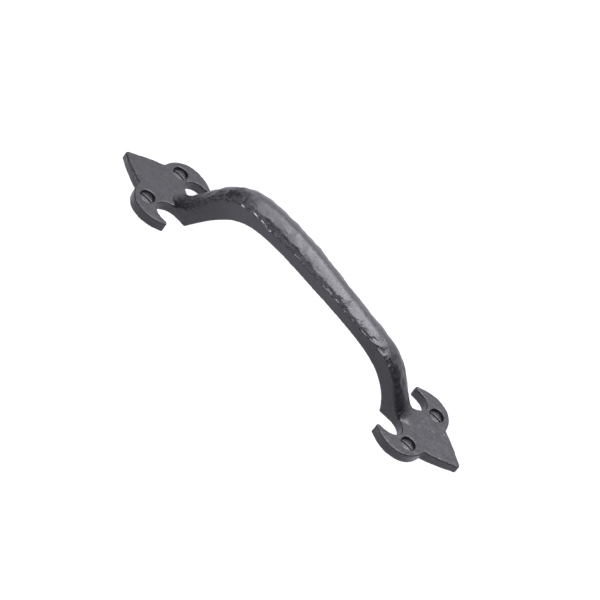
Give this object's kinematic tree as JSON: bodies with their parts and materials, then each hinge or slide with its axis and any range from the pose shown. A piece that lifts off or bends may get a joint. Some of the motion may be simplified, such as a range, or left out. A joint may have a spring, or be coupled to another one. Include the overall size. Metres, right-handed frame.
{
  "type": "bow pull handle",
  "caption": "Black cast-iron bow pull handle: hammered arched grip cast in one with spear-and-crescent end plates, fixed by slotted countersunk wood screws",
  "frame": {"origin": "midway between the four screws, on the plane of the door or shutter that the plates lie against", "axes": "+Z points away from the door, X runs along the handle with -X at its upper end, Y runs across it"},
  "size_m": [0.205, 0.0428, 0.0614],
  "materials": {
    "japanned_iron": "black japanned over hammered cast iron, satin",
    "black_screw_steel": "blackened steel wood screw, satin"
  },
  "bodies": {
    "root": {"handle_casting": "japanned_iron", "upper_left_screw": "black_screw_steel", "upper_right_screw": "black_screw_steel", "lower_left_screw": "black_screw_steel", "lower_right_screw": "black_screw_steel"}
  },
  "joints": []
}
